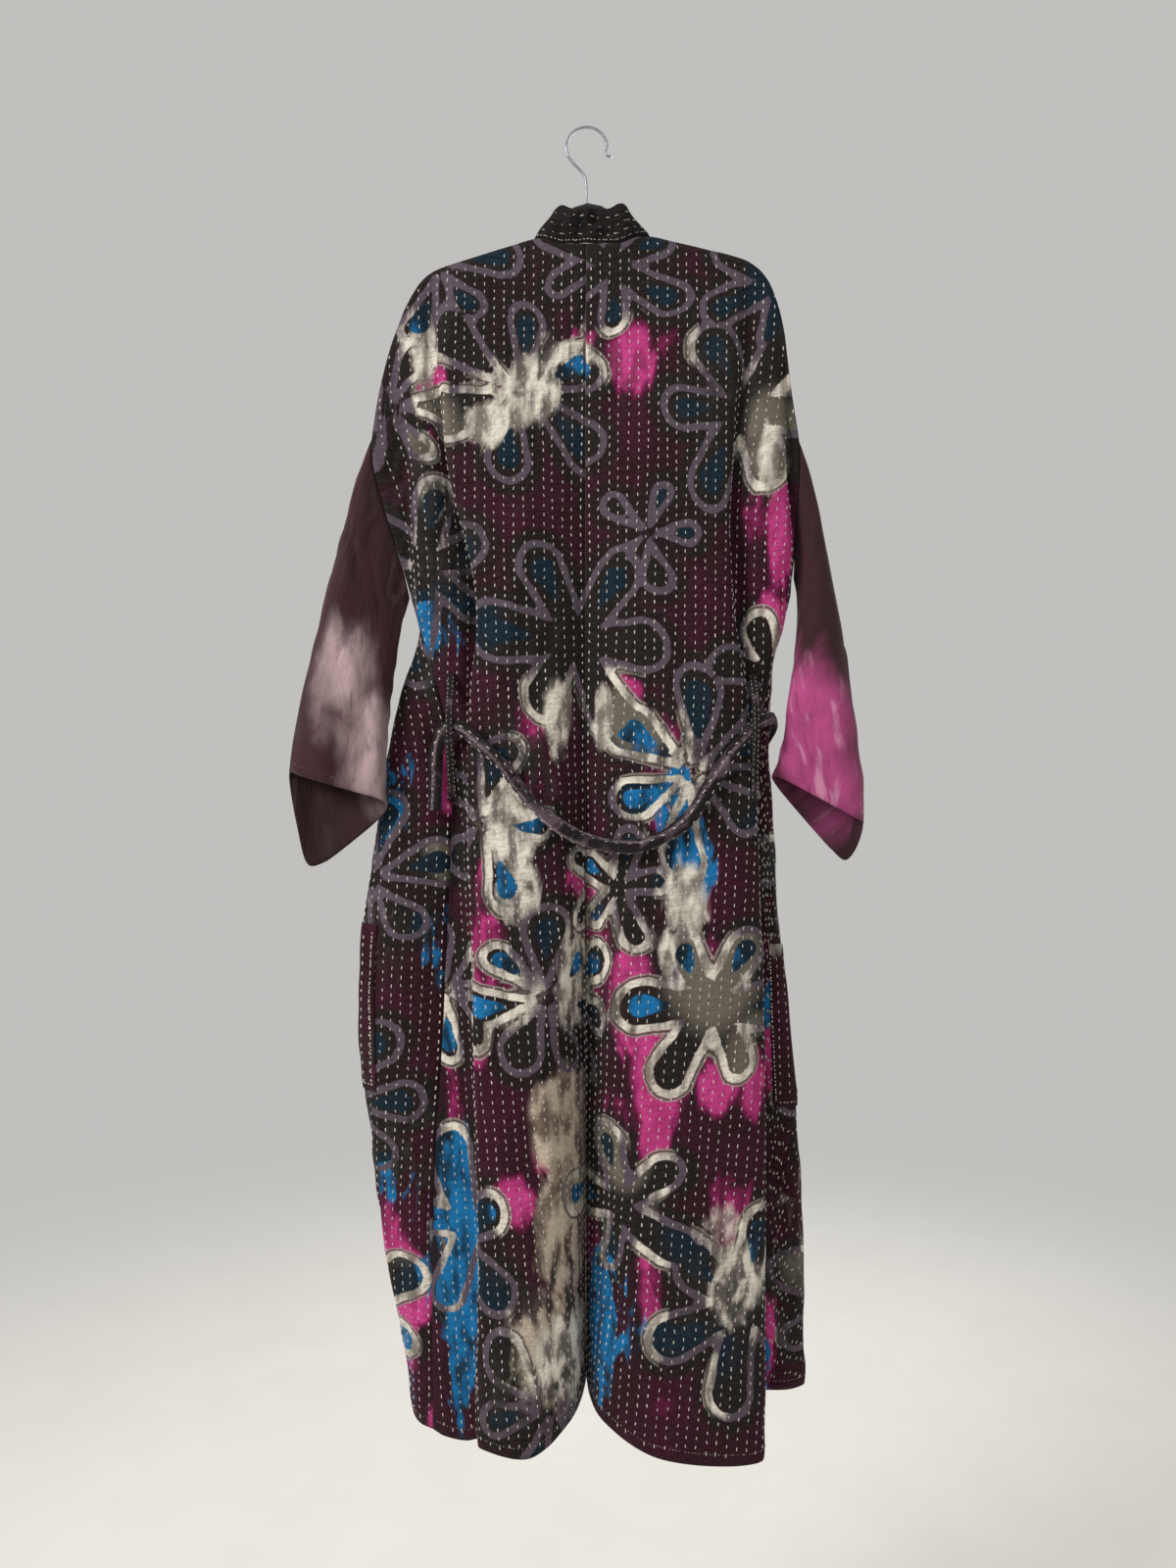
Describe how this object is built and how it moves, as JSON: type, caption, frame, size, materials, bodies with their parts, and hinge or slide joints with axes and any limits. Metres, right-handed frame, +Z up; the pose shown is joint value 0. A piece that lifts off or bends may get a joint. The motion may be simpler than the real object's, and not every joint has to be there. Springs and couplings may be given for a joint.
{
  "type": "kimono on a hanger",
  "caption": "Quilted patchwork-dyed kimono robe with open front, wide neckband, plain sleeves, patch pockets and slung sash, hung on a slim hanger with a wire hook.",
  "frame": {"origin": "inside of the top of the wire hook, where it rests on what holds it up", "axes": "+Z up the hanging garment, +Y towards its open front, -Y out of its back, +X towards its right side as seen from behind"},
  "size_m": [0.6654, 0.1603, 1.5351],
  "materials": {
    "quilted_cotton": "matte",
    "plain_cotton": "matte",
    "dark_cotton": "matte",
    "flocked_plastic": "flocked",
    "wire": "polished"
  },
  "bodies": {
    "root": {"back_left": "quilted_cotton", "back_right": "quilted_cotton", "front_left": "quilted_cotton", "front_right": "quilted_cotton", "pocket_left": "quilted_cotton", "pocket_right": "quilted_cotton", "sleeve_left": "plain_cotton", "sleeve_right": "plain_cotton", "neckband": "dark_cotton", "belt": "dark_cotton", "belt_loop_left": "dark_cotton", "belt_loop_right": "dark_cotton", "hanger_body": "flocked_plastic", "hanger_hook": "wire"}
  },
  "joints": []
}
